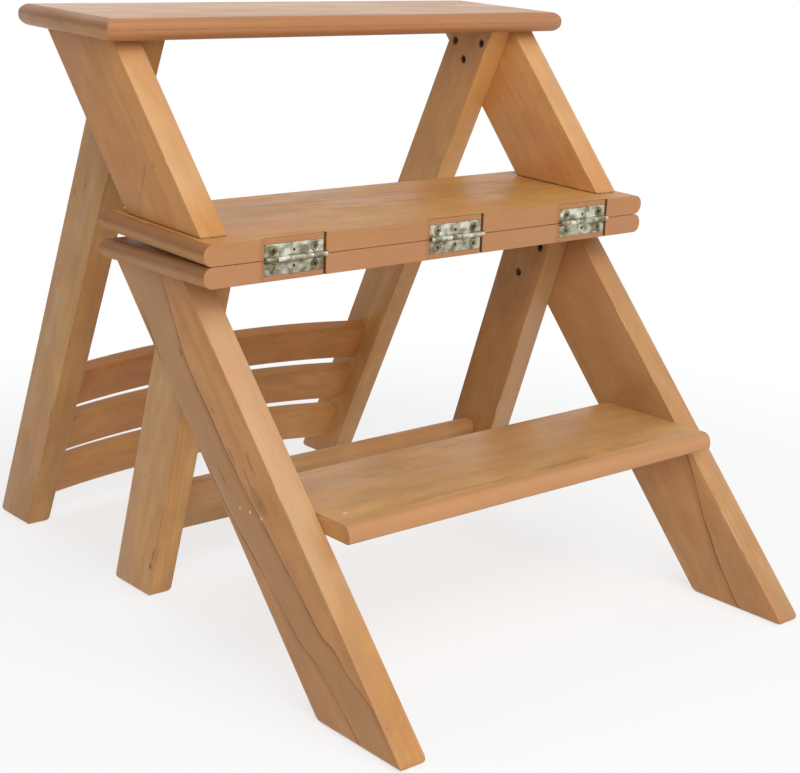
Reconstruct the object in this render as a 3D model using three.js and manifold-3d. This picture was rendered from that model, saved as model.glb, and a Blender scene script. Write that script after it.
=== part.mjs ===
// Folding step stool chair, standing open as three steps.
// Two wooden frames are joined by three butt hinges along the front edges of two stacked seat boards.
// The rear frame turns up and over the hinge line, and the stool becomes a chair.
// Millimetres, +Z up, +X to the right, +Y towards the rear feet.

import * as THREE from 'three';
import { mergeVertices } from 'three/addons/utils/BufferGeometryUtils.js';
import Module from 'manifold-3d';

const wasm = await Module();
wasm.setup();

// Overall places and stock
const hingeHeight = 395; // hinge line above the floor
const restTilt = THREE.MathUtils.degToRad(2.3); // the rear frame leans back a little as steps
const frameHalfWidth = 275; // outer faces of the front legs and of the upper sides
const legThickness = 30;
const seamHalf = 0.25; // half the gap between the stacked seat boards
const edgeSetback = 1.5; // hinged board edges behind the hinge line
const fit = 0.3; // gap between pieces that rest on each other or are let into each other
const overrun = 5; // cutters run past the faces that they open
const arris = 1; // eased edges of the planks

// Seat boards and top tread
const seatBoard = { overhang: 13.5, depth: 189, thickness: 20, nose: 9 };
const topTread = {
  overhang: 20.5,
  depth: 177,
  thickness: 21,
  nose: 9,
  front: 153,
  underside: 182,
};
const noseFlat = 1; // flat band left in the middle of a rounded edge

// Front frame, with setbacks measured back from the hinged board edges
const frontLeg = { width: 90, footFront: -278.5, topFront: 59.5 };
const shortLeg = { width: 65, footFront: 191, topFront: 60.5 };
const lowerTread = {
  thickness: 17.5,
  depth: 152,
  front: -161.5,
  top: 185.5,
  noseTop: 10,
  noseBottom: 3,
};
const stretcher = {
  height: 56,
  thickness: 22,
  inset: 27,
  top: 119,
  round: 10,
  foot: 2,
  bow: 0,
};

// Rear frame, with setbacks in its own folded-flat position
const upperSide = { width: 94, footFront: 27, topFront: 180.5 };
const rearLeg = { width: 60, topFront: 181.5, splay: THREE.MathUtils.degToRad(24.5) };
const slat = {
  height: 50,
  thickness: 20,
  inset: 22,
  top: 181,
  round: 4,
  foot: 4,
  bow: 18,
  pitch: 70.5,
};
const footRound = 4; // rounded ends of the legs
const tenonLength = 10; // slat and stretcher ends let into the legs
const bowSteps = 12; // pieces that a curved slat is drawn in

// Hinges
const hinge = { length: 68, reach: 14.6, leaf: 1.6, barrel: 3, pin: 1.5, knuckles: 5 };
const hingePlaceShares = { left: -0.6855, middle: 0.0473, right: 0.7127 }; // of frameHalfWidth
const hingeHole = { spread: 24, height: 8.4, spareRadius: 1.5, spareHeight: 7.6 };
const pinHead = { radius: 2.6, length: 4 };
const kerf = { width: 3, depth: 2.6 }; // saw cut that ends each hinge recess

// Screws and dowels
const hingeScrew = { head: 4.2, rim: 0.4, cone: 2.4, shank: 1.7, length: 15, tip: 4 };
const legScrew = { head: 4.4, rim: 0.4, cone: 2.8, shank: 2.2, length: 46, tip: 6, sunk: 2 };
const treadDowel = { radius: 4, length: 36 };
const boardDowel = { radius: 5, inBoard: 12, inLeg: 18 };
const endAllowance = 0.5; // dowel holes are this much deeper than the dowels at each end
const dowelShares = [0.28, 0.75]; // places of the tread dowels across the front leg
const boardDowelShare = 0.74; // place of a board dowel across the leg or side that it holds
// Screw places: shares across the inner leg from its front edge, and drops below the leg's top
const shortLegScrews = [
  { acrossShare: 0.18, drop: 23.5 },
  { acrossShare: 0.8, drop: 18 },
  { acrossShare: 0.5, drop: 57 },
];
const rearLegScrews = [
  { acrossShare: 0.16, drop: 16 },
  { acrossShare: 0.83, drop: 17 },
  { acrossShare: 0.46, drop: 36.5 },
];

const roundSteps = 12;
const arcSteps = 4;
const noseSteps = 6;

// Heights measured from the hinge line
const floorZ = -hingeHeight;
const lowerBoardTop = -seamHalf;
const lowerBoardUnder = lowerBoardTop - seatBoard.thickness;
const upperBoardUnder = seamHalf;
const upperBoardTop = upperBoardUnder + seatBoard.thickness;
const innerLegOuter = frameHalfWidth - legThickness;
const innerLegInner = innerLegOuter - legThickness;

const woods = {
  board: new THREE.MeshStandardMaterial({ color: 0xc08a5c, roughness: 0.45, metalness: 0 }),
  tread: new THREE.MeshStandardMaterial({ color: 0xbd905f, roughness: 0.45, metalness: 0 }),
  leg: new THREE.MeshStandardMaterial({ color: 0xb98455, roughness: 0.5, metalness: 0 }),
  innerLeg: new THREE.MeshStandardMaterial({ color: 0xa87446, roughness: 0.5, metalness: 0 }),
  rail: new THREE.MeshStandardMaterial({ color: 0xa9713f, roughness: 0.5, metalness: 0 }),
  dowel: new THREE.MeshStandardMaterial({ color: 0xd0aa78, roughness: 0.7, metalness: 0 }),
};
const hingeSteel = new THREE.MeshStandardMaterial({ color: 0xa5a085, roughness: 0.35, metalness: 0.9 });
const screwSteel = new THREE.MeshStandardMaterial({ color: 0x8c8464, roughness: 0.4, metalness: 0.9 });
const darkSteel = new THREE.MeshStandardMaterial({ color: 0x2a211b, roughness: 0.5, metalness: 0.8 });

// Solids from closed geometries, and back
function toSolid(geometry) {
  const bare = geometry.clone();
  bare.deleteAttribute('normal');
  bare.deleteAttribute('uv');
  const merged = mergeVertices(bare);
  const vertProperties = new Float32Array(merged.attributes.position.array);
  const triVerts = new Uint32Array(merged.index.array);
  return new wasm.Manifold(new wasm.Mesh({ numProp: 3, vertProperties, triVerts }));
}

function toGeometry(solid) {
  const mesh = solid.getMesh();
  const geometry = new THREE.BufferGeometry();
  const corners = new THREE.BufferAttribute(new Float32Array(mesh.vertProperties), mesh.numProp);
  geometry.setAttribute('position', corners);
  geometry.setIndex(new THREE.BufferAttribute(new Uint32Array(mesh.triVerts), 1));
  geometry.computeVertexNormals();
  return geometry;
}

function cut(solid, cutters) {
  return cutters.reduce((left, cutter) => left.subtract(cutter), solid);
}

const alongX = new THREE.Vector3(1, 0, 0);
const alongY = new THREE.Vector3(0, 1, 0);
const alongZ = new THREE.Vector3(0, 0, 1);

// Box between two corners
function block(low, high) {
  const box = new THREE.BoxGeometry(high[0] - low[0], high[1] - low[1], high[2] - low[2]);
  box.translate((low[0] + high[0]) / 2, (low[1] + high[1]) / 2, (low[2] + high[2]) / 2);
  return toSolid(box);
}

// Round piece whose profile of [radius, distance] pairs runs from a point along a direction
function turned(profile, from, direction) {
  const points = profile.map(([radius, along]) => new THREE.Vector2(radius, along));
  const lathe = new THREE.LatheGeometry(points, roundSteps);
  lathe.applyQuaternion(new THREE.Quaternion().setFromUnitVectors(alongY, direction));
  lathe.translate(from[0], from[1], from[2]);
  return toSolid(lathe);
}

function rod(radius, from, direction, length) {
  return turned([[0, 0], [radius, 0], [radius, length], [0, length]], from, direction);
}

// Plank whose side outline is seen along X, centred on its own thickness
function plank(shape, thickness, ease) {
  const extrusion = new THREE.ExtrudeGeometry(shape, {
    depth: thickness - 2 * ease,
    bevelEnabled: ease > 0,
    bevelThickness: ease,
    bevelSize: ease,
    bevelOffset: -ease,
    bevelSegments: 2,
    curveSegments: arcSteps,
  });
  extrusion.translate(0, 0, ease - thickness / 2);
  extrusion.applyMatrix4(new THREE.Matrix4().makeBasis(alongY, alongZ, alongX));
  return toSolid(extrusion);
}

// Outline of a plank that leans
// Its front edge starts at [topY, topZ] and goes back by run for each unit down
function leaningOutline({ topY, topZ, run, width, footOf, round }) {
  const topFront = new THREE.Vector2(topY, topZ);
  const topBack = new THREE.Vector2(topY + width * Math.hypot(1, run), topZ);
  const footFront = new THREE.Vector2(...footOf(topFront.x));
  const footBack = new THREE.Vector2(...footOf(topBack.x));
  const shape = new THREE.Shape();
  shape.moveTo(topBack.x, topBack.y);
  shape.lineTo(topFront.x, topFront.y);
  if (round > 0) {
    roundCorner(shape, topFront, footFront, footBack, round);
    roundCorner(shape, footFront, footBack, topBack, round);
  } else {
    shape.lineTo(footFront.x, footFront.y);
    shape.lineTo(footBack.x, footBack.y);
  }
  return shape;
}

// Arc in place of a corner of an outline that runs anticlockwise
function roundCorner(shape, before, corner, after, radius) {
  const toBefore = before.clone().sub(corner).normalize();
  const toAfter = after.clone().sub(corner).normalize();
  const halfAngle = Math.acos(toBefore.dot(toAfter)) / 2;
  const centre = toBefore.clone().add(toAfter).setLength(radius / Math.sin(halfAngle)).add(corner);
  const reach = radius / Math.tan(halfAngle);
  const start = toBefore.multiplyScalar(reach).add(corner).sub(centre);
  const end = toAfter.multiplyScalar(reach).add(corner).sub(centre);
  shape.absarc(centre.x, centre.y, radius, start.angle(), end.angle(), false);
}

// Point where a leaning edge meets the floor, in a frame that stands tilted by an angle
function floorPoint(topY, topZ, run, tilt) {
  const start = topY + run * topZ;
  const z = (floorZ - start * Math.sin(tilt)) / (Math.cos(tilt) - run * Math.sin(tilt));
  return [start - run * z, z];
}

// Rectangle with rounded corners in its own place along a leaning line
function railSection({ height, thickness, round, foot }) {
  const section = new THREE.Shape();
  section.moveTo(0, -round);
  section.absarc(round, -round, round, Math.PI, Math.PI / 2, true);
  section.absarc(thickness - round, -round, round, Math.PI / 2, 0, true);
  section.absarc(thickness - foot, foot - height, foot, 0, -Math.PI / 2, true);
  section.absarc(foot, foot - height, foot, -Math.PI / 2, -Math.PI, true);
  return section;
}

// Board rounded on its edges, which meet in mitres, lying on z = 0 with its front edge at y = 0
function nosedBoard({ overhang, depth, thickness, nose }, frontExtra) {
  const half = frameHalfWidth + overhang;
  const plan = new THREE.Shape();
  plan.moveTo(-half, -frontExtra);
  plan.lineTo(half, -frontExtra);
  plan.lineTo(half, depth);
  plan.lineTo(-half, depth);
  const bulge = (thickness - noseFlat) / 2;
  const board = new THREE.ExtrudeGeometry(plan, {
    depth: noseFlat,
    bevelThickness: bulge,
    bevelSize: nose,
    bevelOffset: -nose,
    bevelSegments: noseSteps,
  });
  board.translate(0, 0, bulge);
  return toSolid(board);
}

// Screw profile, and the hole that takes the screw with clearance all round
function screwProfile({ head, rim, cone, shank, length, tip }) {
  return [[0, 0], [head, 0], [head, rim], [shank, cone], [shank, length - tip], [0, length]];
}

function screwHole({ head, rim, cone, shank, length }, mouth) {
  return [
    [0, -mouth],
    [head + fit, -mouth],
    [head + fit, rim],
    [shank + fit, cone + fit],
    [shank + fit, length + fit],
    [0, length + fit],
  ];
}

const stool = new THREE.Group();
const frontFrame = new THREE.Group();
const rearFrame = new THREE.Group();

function add(group, name, solid, material, place) {
  const mesh = new THREE.Mesh(toGeometry(solid), material);
  mesh.name = name;
  mesh.position.set(place[0], place[1], place[2]);
  group.add(mesh);
}

const sides = { left: -1, right: 1 };
const hingePlaces = Object.entries(hingePlaceShares).map(([name, share]) =>
  [name, share * frameHalfWidth]);

// Recesses, screw holes and saw cuts that the hinges need in a seat board's front edge; up is 1 or -1
function hingeRecesses(up) {
  const cutters = [];
  for (const [, centre] of hingePlaces) {
    const low = centre - hinge.length / 2 - fit;
    const high = centre + hinge.length / 2 + fit;
    const back = edgeSetback + hinge.leaf + fit;
    const ends = [0, up * (hinge.reach + fit)].sort((a, b) => a - b);
    const board = [0, up * (seamHalf + seatBoard.thickness + overrun)].sort((a, b) => a - b);
    cutters.push(block([low, -overrun, ends[0]], [high, back, ends[1]]));
    const kerfEnd = [high + kerf.width, edgeSetback + kerf.depth, board[1]];
    cutters.push(block([high, -overrun, board[0]], kerfEnd));
    const groove = hinge.length + 2 * fit + kerf.width + pinHead.length;
    cutters.push(rod(hinge.barrel + fit, [low, 0, 0], alongX, groove));
    for (const across of [-hingeHole.spread, hingeHole.spread]) {
      const mouth = [centre + across, edgeSetback, up * hingeHole.height];
      cutters.push(turned(screwHole(hingeScrew, overrun), mouth, alongY));
    }
  }
  return cutters;
}

// Both seat boards: square along the hinge, rounded on the other three edges
function seatBoardSolid(up) {
  const whole = nosedBoard(seatBoard, seatBoard.nose + overrun);
  const raised = whole.translate([0, edgeSetback, up > 0 ? upperBoardUnder : lowerBoardUnder]);
  const far = frameHalfWidth + seatBoard.depth;
  const front = block([-far, -far, -far], [far, edgeSetback, far]);
  return cut(raised, [front, ...hingeRecesses(up)]);
}

// Dowel holes go down into a leg's top or up into a board's underside
function boardDowelHole(x, y, z) {
  const length = boardDowel.inBoard + boardDowel.inLeg + 2 * endAllowance;
  return rod(boardDowel.radius + fit, [x, y, z - boardDowel.inLeg - endAllowance], alongZ, length);
}

function boardDowelSolid() {
  const { radius, inBoard, inLeg } = boardDowel;
  return rod(radius, [0, 0, -inLeg], alongZ, inLeg + inBoard);
}

// Front frame

const legTopZ = lowerBoardUnder;
const frontLegRun = (frontLeg.footFront - frontLeg.topFront) / (legTopZ - floorZ);
const shortLegRun = (shortLeg.footFront - shortLeg.topFront) / (legTopZ - floorZ);
const frontLegTopY = edgeSetback + frontLeg.topFront;
const shortLegTopY = edgeSetback + shortLeg.topFront;
const frontLegAcross = frontLeg.width * Math.hypot(1, frontLegRun);
const shortLegAcross = shortLeg.width * Math.hypot(1, shortLegRun);
const frontDowelY = frontLegTopY + boardDowelShare * frontLegAcross;
const outerLegX = frameHalfWidth - legThickness / 2;
const innerLegX = innerLegOuter - legThickness / 2;

function edgeY(topY, topZ, run, z) {
  return topY + run * (topZ - z);
}

// Places of the lower tread's dowels, in the middle of its thickness
const treadMiddleZ = floorZ + lowerTread.top - lowerTread.thickness / 2;
const treadDowelYs = dowelShares.map((share) =>
  edgeY(frontLegTopY, legTopZ, frontLegRun, treadMiddleZ) + share * frontLegAcross);

function treadDowelHole(y, x) {
  const length = treadDowel.length + 2 * endAllowance;
  return rod(treadDowel.radius + fit, [x - length / 2, y, treadMiddleZ], alongX, length);
}

// Screws that hold an inner leg to its outer neighbour, as [y, z] places
function legScrewPlaces(rows, topY, topZ, run, across) {
  return rows.map(({ acrossShare, drop }) => {
    const z = topZ - drop;
    return [edgeY(topY, topZ, run, z) + acrossShare * across, z];
  });
}

const shortLegScrewPlaces =
  legScrewPlaces(shortLegScrews, shortLegTopY, legTopZ, shortLegRun, shortLegAcross);

// Cutters for leg screws in the frame's own X, driven outwards from the inner leg's inner face
function legScrewHoles(places, side) {
  const outwards = new THREE.Vector3(side, 0, 0);
  const head = innerLegInner + legScrew.sunk;
  return places.map(([y, z]) =>
    turned(screwHole(legScrew, legScrew.sunk + overrun), [side * head, y, z], outwards));
}

function addLegScrews(group, name, places, side) {
  const outwards = new THREE.Vector3(side, 0, 0);
  places.forEach(([y, z], index) => {
    const solid = turned(screwProfile(legScrew), [0, 0, 0], outwards);
    const place = [side * (innerLegInner + legScrew.sunk), y, z];
    add(group, `${name}_${index + 1}`, solid, darkSteel, place);
  });
}

function addFrontLegs() {
  for (const [sideName, side] of Object.entries(sides)) {
    const outerOutline = leaningOutline({
      topY: frontLegTopY,
      topZ: legTopZ,
      run: frontLegRun,
      width: frontLeg.width,
      footOf: (topY) => floorPoint(topY, legTopZ, frontLegRun, 0),
      round: footRound,
    });
    const centre = side * outerLegX;
    const holes = [
      ...legScrewHoles(shortLegScrewPlaces, side),
      ...treadDowelYs.map((y) => treadDowelHole(y, side * innerLegOuter)),
      boardDowelHole(centre, frontDowelY, legTopZ),
    ].map((hole) => hole.translate([-centre, 0, 0]));
    const outer = cut(plank(outerOutline, legThickness, arris), holes);
    add(frontFrame, `front_leg_${sideName}`, outer, woods.leg, [centre, 0, 0]);

    const innerOutline = leaningOutline({
      topY: shortLegTopY,
      topZ: legTopZ,
      run: shortLegRun,
      width: shortLeg.width,
      footOf: (topY) => floorPoint(topY, legTopZ, shortLegRun, 0),
      round: footRound,
    });
    const innerCentre = side * innerLegX;
    const innerHoles = [
      ...legScrewHoles(shortLegScrewPlaces, side),
      railCutter(stretcher, stretcherPlace(), shortLegRun),
    ].map((hole) => hole.translate([-innerCentre, 0, 0]));
    const inner = cut(plank(innerOutline, legThickness, arris), innerHoles);
    add(frontFrame, `short_leg_${sideName}`, inner, woods.innerLeg, [innerCentre, 0, 0]);

    addLegScrews(frontFrame, `short_leg_screw_${sideName}`, shortLegScrewPlaces, side);
    const dowelPlace = [centre, frontDowelY, legTopZ];
    add(frontFrame, `seat_dowel_${sideName}`, boardDowelSolid(), woods.dowel, dowelPlace);
    treadDowelYs.forEach((y, index) => {
      const solid = rod(treadDowel.radius, [-treadDowel.length / 2, 0, 0], alongX, treadDowel.length);
      const place = [side * innerLegOuter, y, treadMiddleZ];
      add(frontFrame, `tread_dowel_${sideName}_${index + 1}`, solid, woods.dowel, place);
    });
  }
}

// Rails run between the inner legs, with their ends let into them
// A bowed one curves backwards in the middle
function railSolid(rail, run, length) {
  const extrusion = new THREE.ExtrudeGeometry(railSection(rail), {
    depth: length,
    bevelEnabled: false,
    steps: rail.bow > 0 ? bowSteps : 1,
    curveSegments: arcSteps,
  });
  const points = extrusion.attributes.position;
  for (let index = 0; index < points.count; index += 1) {
    const share = (points.getZ(index) - length / 2) / innerLegInner;
    points.setX(index, points.getX(index) + rail.bow * (1 - share * share));
  }
  extrusion.translate(0, 0, -length / 2);
  extrusion.applyMatrix4(new THREE.Matrix4().makeBasis(alongY, alongZ, alongX));
  extrusion.rotateX(Math.atan(run));
  return toSolid(extrusion);
}

function railCutter(rail, [y, z], run) {
  const grown = { ...rail, height: rail.height + 2 * fit, thickness: rail.thickness + 2 * fit };
  const length = 2 * (innerLegInner + tenonLength + fit);
  const lift = new THREE.Vector2(-fit, fit).rotateAround(new THREE.Vector2(), Math.atan(run));
  return railSolid(grown, run, length).translate([0, y + lift.x, z + lift.y]);
}

// Place of a rail's upper front corner at a height, inset square to the leg's front edge
function railPlace(topY, topZ, run, inset, z) {
  const lean = Math.atan(run);
  const edge = edgeY(topY, topZ, run, z - inset * Math.sin(lean));
  return [edge + inset * Math.cos(lean), z];
}

function stretcherPlace() {
  return railPlace(shortLegTopY, legTopZ, shortLegRun, stretcher.inset, floorZ + stretcher.top);
}

function addStretcher() {
  const [y, z] = stretcherPlace();
  const length = 2 * (innerLegInner + tenonLength);
  const solid = railSolid(stretcher, shortLegRun, length);
  add(frontFrame, 'stretcher_rail', solid, woods.rail, [0, y, z]);
}

function addLowerTread() {
  const { thickness, depth, noseTop, noseBottom } = lowerTread;
  const side = new THREE.Shape();
  side.moveTo(depth, 0);
  side.lineTo(depth, -thickness);
  side.absarc(noseBottom, noseBottom - thickness, noseBottom, -Math.PI / 2, -Math.PI, true);
  side.absarc(noseTop, -noseTop, noseTop, Math.PI, Math.PI / 2, true);
  const length = 2 * innerLegOuter;
  const y = edgeSetback + lowerTread.front;
  const z = floorZ + lowerTread.top;
  const holes = Object.values(sides).flatMap((sign) =>
    treadDowelYs.map((dowelY) => treadDowelHole(dowelY, sign * innerLegOuter).translate([0, -y, -z])));
  add(frontFrame, 'lower_tread', cut(plank(side, length, arris), holes), woods.tread, [0, y, z]);
}

function addLowerSeatBoard() {
  const dowelHoles = Object.values(sides).map((sign) =>
    boardDowelHole(sign * outerLegX, frontDowelY, legTopZ));
  add(frontFrame, 'lower_seat_board', cut(seatBoardSolid(-1), dowelHoles), woods.board, [0, 0, 0]);
}

// Rear frame, drawn as if its seat board lay flat on the other one

const sideFootZ = upperBoardTop + fit;
const sideTopZ = topTread.underside - fit;
const sideRun = (upperSide.footFront - upperSide.topFront) / (sideTopZ - sideFootZ);
const sideTopY = edgeSetback + upperSide.topFront;
const sideAcross = upperSide.width * Math.hypot(1, sideRun);
const rearLegRun = Math.tan(rearLeg.splay);
const rearLegTopY = edgeSetback + rearLeg.topFront;
const rearLegAcross = rearLeg.width * Math.hypot(1, rearLegRun);
const rearLegScrewPlaces =
  legScrewPlaces(rearLegScrews, rearLegTopY, sideTopZ, rearLegRun, rearLegAcross);
const sideFootY = edgeY(sideTopY, sideTopZ, sideRun, sideFootZ);
const topDowelY = sideTopY + boardDowelShare * sideAcross;
const footDowelY = sideFootY + (1 - boardDowelShare) * sideAcross;

function addUpperSides() {
  for (const [sideName, side] of Object.entries(sides)) {
    const centre = side * outerLegX;
    const outline = leaningOutline({
      topY: sideTopY,
      topZ: sideTopZ,
      run: sideRun,
      width: upperSide.width,
      footOf: (topY) => [edgeY(topY, sideTopZ, sideRun, sideFootZ), sideFootZ],
      round: 0,
    });
    const topDowel = boardDowelHole(centre, topDowelY, sideTopZ);
    const footDowel = boardDowelHole(centre, footDowelY, -sideFootZ).mirror([0, 0, 1]);
    const holes = [...legScrewHoles(rearLegScrewPlaces, side), topDowel, footDowel]
      .map((hole) => hole.translate([-centre, 0, 0]));
    const solid = cut(plank(outline, legThickness, arris), holes);
    add(rearFrame, `upper_side_${sideName}`, solid, woods.leg, [centre, 0, 0]);
    const topPlace = [centre, topDowelY, sideTopZ];
    add(rearFrame, `top_dowel_${sideName}`, boardDowelSolid(), woods.dowel, topPlace);
    const footSolid = boardDowelSolid().mirror([0, 0, 1]);
    const footPlace = [centre, footDowelY, sideFootZ];
    add(rearFrame, `side_dowel_${sideName}`, footSolid, woods.dowel, footPlace);
  }
}

const slatNames = ['top', 'middle', 'bottom'];

function slatPlace(index) {
  const z = floorZ + slat.top - index * slat.pitch * Math.cos(rearLeg.splay);
  return railPlace(rearLegTopY, sideTopZ, rearLegRun, slat.inset, z);
}

function addRearLegs() {
  const outline = leaningOutline({
    topY: rearLegTopY,
    topZ: sideTopZ,
    run: rearLegRun,
    width: rearLeg.width,
    footOf: (topY) => floorPoint(topY, sideTopZ, rearLegRun, restTilt),
    round: footRound,
  });
  for (const [sideName, side] of Object.entries(sides)) {
    const centre = side * innerLegX;
    const holes = [
      ...legScrewHoles(rearLegScrewPlaces, side),
      ...slatNames.map((name, index) => railCutter(slat, slatPlace(index), rearLegRun)),
    ].map((hole) => hole.translate([-centre, 0, 0]));
    const solid = cut(plank(outline, legThickness, arris), holes);
    add(rearFrame, `rear_leg_${sideName}`, solid, woods.innerLeg, [centre, 0, 0]);
    addLegScrews(rearFrame, `rear_leg_screw_${sideName}`, rearLegScrewPlaces, side);
  }
}

function addSlats() {
  slatNames.forEach((name, index) => {
    const [y, z] = slatPlace(index);
    const solid = railSolid(slat, rearLegRun, 2 * (innerLegInner + tenonLength));
    add(rearFrame, `back_slat_${name}`, solid, woods.rail, [0, y, z]);
  });
}

function addTopTread() {
  const z = topTread.underside;
  const y = edgeSetback + topTread.front;
  const holes = Object.values(sides).map((sign) =>
    boardDowelHole(sign * outerLegX, topDowelY, sideTopZ).translate([0, -y, -z]));
  add(rearFrame, 'top_tread', cut(nosedBoard(topTread, 0), holes), woods.tread, [0, y, z]);
}

function addUpperSeatBoard() {
  const holes = Object.values(sides).map((sign) =>
    boardDowelHole(sign * outerLegX, footDowelY, -sideFootZ).mirror([0, 0, 1]));
  add(rearFrame, 'upper_seat_board', cut(seatBoardSolid(1), holes), woods.board, [0, 0, 0]);
}

// Hinges: two leaves with interleaved knuckles on one pin, flush in the board edges

function knuckleBounds(index) {
  const step = hinge.length / hinge.knuckles;
  const low = -hinge.length / 2 + index * step;
  return [low + fit / 2, low + step - fit / 2];
}

// Leaf with its holes; up is 1 for the upper leaf, and own says which knuckles it carries
function leafSolid(up, own) {
  const half = hinge.length / 2;
  const ends = [up * seamHalf, up * hinge.reach].sort((a, b) => a - b);
  let leaf = block([-half, edgeSetback, ends[0]], [half, edgeSetback + hinge.leaf, ends[1]]);
  for (let index = 0; index < hinge.knuckles; index += 1) {
    const [low, high] = knuckleBounds(index);
    if (own(index)) leaf = leaf.add(rod(hinge.barrel, [low, 0, 0], alongX, high - low));
    else leaf = leaf.subtract(rod(hinge.barrel + fit, [low - fit, 0, 0], alongX, high - low + 2 * fit));
  }
  const cutters = [rod(hinge.pin + fit, [-hinge.length, 0, 0], alongX, 2 * hinge.length)];
  for (const across of [-hingeHole.spread, hingeHole.spread]) {
    const mouth = [across, edgeSetback, up * hingeHole.height];
    cutters.push(turned(screwHole(hingeScrew, overrun), mouth, alongY));
  }
  const spare = [0, -overrun, up * hingeHole.spareHeight];
  cutters.push(rod(hingeHole.spareRadius, spare, alongY, 2 * overrun));
  return cut(leaf, cutters);
}

function pinSolid() {
  const { radius, length } = pinHead;
  const body = hinge.length + fit;
  const profile = [
    [0, 0],
    [hinge.pin, 0],
    [hinge.pin, body],
    [radius, body],
    [radius, body + length / 2],
    [0, body + length],
  ];
  return turned(profile, [-hinge.length / 2, 0, 0], alongX);
}

function addHinges() {
  for (const [name, centre] of hingePlaces) {
    const upperLeaf = leafSolid(1, (index) => index % 2 === 1);
    const lowerLeaf = leafSolid(-1, (index) => index % 2 === 0);
    const middle = [centre, 0, 0];
    add(rearFrame, `hinge_${name}_upper_leaf`, upperLeaf, hingeSteel, middle);
    add(frontFrame, `hinge_${name}_lower_leaf`, lowerLeaf, hingeSteel, middle);
    add(frontFrame, `hinge_${name}_pin`, pinSolid(), hingeSteel, middle);
    for (const [leafName, group, up] of [['upper', rearFrame, 1], ['lower', frontFrame, -1]]) {
      [-hingeHole.spread, hingeHole.spread].forEach((across, index) => {
        const solid = turned(screwProfile(hingeScrew), [0, 0, 0], alongY);
        const place = [centre + across, edgeSetback, up * hingeHole.height];
        add(group, `hinge_${name}_${leafName}_screw_${index + 1}`, solid, screwSteel, place);
      });
    }
  }
}

addLowerSeatBoard();
addLowerTread();
addFrontLegs();
addStretcher();
addUpperSeatBoard();
addUpperSides();
addRearLegs();
addSlats();
addTopTread();
addHinges();

// The origin is on the floor, under the middle of the stool's whole depth
rearFrame.rotation.x = restTilt;
for (const frame of [frontFrame, rearFrame]) {
  frame.position.z = hingeHeight;
  stool.add(frame);
}
const bounds = new THREE.Box3().setFromObject(stool, true);
for (const frame of [frontFrame, rearFrame]) {
  frame.position.y = -(bounds.min.y + bounds.max.y) / 2;
}

export default stool;
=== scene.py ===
import math

import bmesh
import bpy
from mathutils import Matrix, Vector


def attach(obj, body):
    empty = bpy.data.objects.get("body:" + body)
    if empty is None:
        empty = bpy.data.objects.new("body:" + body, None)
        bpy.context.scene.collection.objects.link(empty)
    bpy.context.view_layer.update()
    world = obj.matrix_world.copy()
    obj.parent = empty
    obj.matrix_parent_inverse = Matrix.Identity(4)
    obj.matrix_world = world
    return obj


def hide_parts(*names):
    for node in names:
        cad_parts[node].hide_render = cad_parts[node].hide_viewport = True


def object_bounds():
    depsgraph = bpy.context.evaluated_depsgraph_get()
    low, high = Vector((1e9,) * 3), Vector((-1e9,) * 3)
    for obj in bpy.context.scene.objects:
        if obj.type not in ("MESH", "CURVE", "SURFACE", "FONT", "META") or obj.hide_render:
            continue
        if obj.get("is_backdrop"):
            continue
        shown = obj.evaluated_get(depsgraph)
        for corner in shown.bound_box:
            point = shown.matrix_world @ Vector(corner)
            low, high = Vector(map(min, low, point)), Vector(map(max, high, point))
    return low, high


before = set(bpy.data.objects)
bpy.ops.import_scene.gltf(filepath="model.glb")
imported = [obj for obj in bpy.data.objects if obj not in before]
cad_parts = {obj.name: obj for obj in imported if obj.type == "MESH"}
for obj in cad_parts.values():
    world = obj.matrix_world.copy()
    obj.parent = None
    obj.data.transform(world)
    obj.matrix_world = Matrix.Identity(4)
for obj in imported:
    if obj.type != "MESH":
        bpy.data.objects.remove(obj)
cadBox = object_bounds()

mm = 0.001
hingeHeight = 395  # all sizes below are in millimetres, about the hinge line
hingeY = -131.626
restTilt = math.radians(2.3)  # the rear frame leans back on its feet
frameHalfWidth = 275
legThickness = 30
edgeSetback = 1.5  # hinged board edges lie this far behind the hinge line
seam = 0.25
boardThickness = 20

hingeLine = Matrix.Translation(Vector((0, hingeY, hingeHeight)) * mm)
frames = {"front_frame": hingeLine, "rear_frame": hingeLine @ Matrix.Rotation(restTilt, 4, "X")}
innerLegOuter = frameHalfWidth - legThickness
innerLegInner = innerLegOuter - legThickness
sides = {"Left": -1, "Right": 1}
xAxis, yAxis, zAxis = Vector((1, 0, 0)), Vector((0, 1, 0)), Vector((0, 0, 1))


def report(words):
    print("step stool:", words)


# camera

cameraLook = {
    "lens": 72.182,
    "place": (-1.06707, -1.33825, 0.67877),
    "yaw": 40.02,
    "pitch": -18.60,
    "roll": 1.32,
    "shiftUp": 0.116875,
}


def addCamera(look):
    yaw, pitch, roll = (math.radians(look[key]) for key in ("yaw", "pitch", "roll"))
    ahead = Vector((math.sin(yaw) * math.cos(pitch), math.cos(yaw) * math.cos(pitch), math.sin(pitch)))
    level = Vector((math.cos(yaw), -math.sin(yaw), 0))
    upright = level.cross(ahead)
    right = level * math.cos(roll) + upright * math.sin(roll)
    up = upright * math.cos(roll) - level * math.sin(roll)
    bpy.ops.object.camera_add(location=look["place"])
    camera = bpy.context.object
    camera.rotation_euler = Matrix((right, up, -ahead)).transposed().to_euler()
    camera.data.lens = look["lens"]
    camera.data.sensor_width = 36
    camera.data.shift_y = look["shiftUp"]
    bpy.context.scene.camera = camera


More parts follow.
